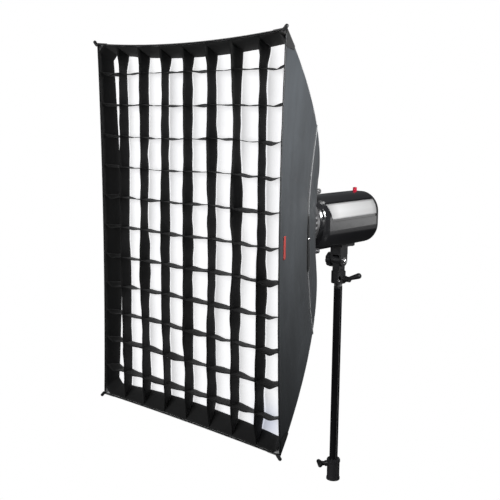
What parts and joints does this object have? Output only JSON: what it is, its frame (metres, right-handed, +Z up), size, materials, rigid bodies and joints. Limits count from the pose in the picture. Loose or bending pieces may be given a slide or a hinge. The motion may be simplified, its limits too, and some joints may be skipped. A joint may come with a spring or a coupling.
{
  "type": "monolight strobe with gridded softbox",
  "caption": "Studio flash head on a tilt bracket and stand riser, carrying a tall rectangular softbox with an egg-crate grid.",
  "frame": {"origin": "centre of the lower mouth of the stand collar's socket, on the stand's axis", "axes": "+Z up along the stand; the light shines towards -Y; +X is to the right of someone who looks at the lit front"},
  "size_m": [0.6142, 0.7492, 1.2671],
  "materials": {
    "stand_black": "gloss",
    "collar_plastic": "satin",
    "black_plastic": "satin",
    "bracket_black": "satin",
    "bright_steel": "polished",
    "brass": "satin",
    "body_gloss": "gloss",
    "silver_panel": "satin",
    "red_cell": "gloss",
    "ring_alloy": "satin",
    "clear_glass": "clear",
    "ceramic_white": "matte",
    "inner_steel": "satin",
    "capacitor_sleeve": "gloss",
    "board_green": "satin",
    "indicator": "clear",
    "switch_red": "gloss",
    "dial_grey": "satin",
    "softbox_cloth": "woven, slight sheen",
    "diffuser_cloth": "white, translucent",
    "grid_cloth": "matt webbing",
    "rod_steel": "satin"
  },
  "bodies": {
    "stand": {"stand_collar": "collar_plastic", "collar_bush": "black_plastic"},
    "riser": {"riser_tube": "stand_black", "riser_cap": "black_plastic", "spigot": "bright_steel"},
    "bracket": {"spigot_socket": "bracket_black", "clamp_insert": "brass"},
    "softbox": {"speed_ring": "ring_alloy", "rod_sockets": "ring_alloy", "rods": "rod_steel", "front_cloth_right": "softbox_cloth", "front_cloth_left": "softbox_cloth", "front_cloth_top": "softbox_cloth", "front_cloth_bottom": "softbox_cloth", "rear_cloth_right": "softbox_cloth", "rear_cloth_left": "softbox_cloth", "rear_cloth_top": "softbox_cloth", "rear_cloth_bottom": "softbox_cloth", "rear_skirt": "softbox_cloth", "inner_baffle": "diffuser_cloth", "front_diffuser": "diffuser_cloth", "grid_columns": "grid_cloth", "grid_rows": "grid_cloth", "corner_tips": "softbox_cloth"},
    "flash_head": {"tilt_yoke": "bracket_black", "tilt_bolt": "bright_steel", "mounting_plate": "bracket_black", "plate_screws": "bright_steel", "casing": "body_gloss", "front_housing": "body_gloss", "rear_cap": "body_gloss", "chassis": "inner_steel", "side_panels": "silver_panel", "slave_cell": "red_cell", "bayonet_ring": "ring_alloy", "flash_tube": "clear_glass", "modelling_lamp": "clear_glass", "lamp_socket": "ceramic_white", "reflector_dish": "ring_alloy", "capacitors": "capacitor_sleeve", "circuit_board": "board_green", "fan_frame": "black_plastic", "power_inlet": "black_plastic", "sync_socket": "bright_steel", "ready_lights": "indicator", "cap_screws": "bright_steel", "umbrella_tube": "bright_steel", "ring_adapter": "ring_alloy"},
    "collar_knob": {"collar_knob": "black_plastic"},
    "clamp_lever": {"clamp_lever": "black_plastic"},
    "tilt_knob": {"tilt_knob": "black_plastic"},
    "bayonet_release": {"bayonet_release": "black_plastic"},
    "fan_rotor": {"fan_rotor": "black_plastic"},
    "fuse_cap": {"fuse_cap": "black_plastic"},
    "power_rocker": {"power_rocker": "switch_red"},
    "flash_dial": {"flash_dial": "dial_grey"},
    "lamp_dial": {"lamp_dial": "dial_grey"},
    "test_button": {"test_button": "switch_red"},
    "slave_rocker": {"slave_rocker": "dial_grey"},
    "umbrella_screw": {"umbrella_screw": "black_plastic"}
  },
  "joints": [
    {"name": "riser_slide", "type": "slide", "parent": "stand", "child": "riser", "axis": [0, 0, 1], "range_m": [-0.5, 0]},
    {"name": "collar_clamp", "type": "hinge", "parent": "stand", "child": "collar_knob", "pos_m": [0, 0, 0.05], "axis": [-0.6947, -0.7193, 0], "range_deg": [-180, 180]},
    {"name": "pan", "type": "hinge", "parent": "riser", "child": "bracket", "pos_m": [0, 0, 0.64], "axis": [0, 0, 1], "continuous": true},
    {"name": "clamp_turn", "type": "hinge", "parent": "bracket", "child": "clamp_lever", "pos_m": [0.021, 0, 0.623], "axis": [1, 0, 0], "range_deg": [-120, 120]},
    {"name": "tilt", "type": "hinge", "parent": "bracket", "child": "flash_head", "pos_m": [0, 0, 0.676], "axis": [-1, 0, 0], "range_deg": [-50, 60]},
    {"name": "tilt_knob_turn", "type": "hinge", "parent": "flash_head", "child": "tilt_knob", "pos_m": [-0.02, 0, 0.676], "axis": [-1, 0, 0], "continuous": true},
    {"name": "softbox_roll", "type": "hinge", "parent": "flash_head", "child": "softbox", "pos_m": [0, -0.2, 0.81], "axis": [0, 1, 0], "continuous": true},
    {"name": "bayonet_slide", "type": "slide", "parent": "flash_head", "child": "bayonet_release", "axis": [0.5, 0, 0.866], "range_m": [-0.003, 0.003], "stiffness_N_per_m": 400},
    {"name": "fan_spin", "type": "hinge", "parent": "flash_head", "child": "fan_rotor", "pos_m": [0, 0.043, 0.804], "axis": [0, 1, 0], "continuous": true},
    {"name": "fuse_turn", "type": "hinge", "parent": "flash_head", "child": "fuse_cap", "pos_m": [0.038, 0.098, 0.784], "axis": [0, 1, 0], "range_deg": [-90, 0]},
    {"name": "power_rock", "type": "hinge", "parent": "flash_head", "child": "power_rocker", "pos_m": [0, 0.098, 0.786], "axis": [1, 0, 0], "range_deg": [-14, 0]},
    {"name": "slave_rock", "type": "hinge", "parent": "flash_head", "child": "slave_rocker", "pos_m": [0, 0.098, 0.816], "axis": [1, 0, 0], "range_deg": [-14, 0]},
    {"name": "flash_dial_turn", "type": "hinge", "parent": "flash_head", "child": "flash_dial", "pos_m": [-0.027, 0.098, 0.826], "axis": [0, 1, 0], "range_deg": [-140, 140]},
    {"name": "lamp_dial_turn", "type": "hinge", "parent": "flash_head", "child": "lamp_dial", "pos_m": [0.027, 0.098, 0.826], "axis": [0, 1, 0], "range_deg": [-140, 140]},
    {"name": "test_press", "type": "slide", "parent": "flash_head", "child": "test_button", "axis": [0, -1, 0], "range_m": [0, 0.0018], "stiffness_N_per_m": 600},
    {"name": "umbrella_clamp", "type": "hinge", "parent": "flash_head", "child": "umbrella_screw", "pos_m": [0, 0.062, 0.72], "axis": [0, 0, 1], "continuous": true}
  ]
}
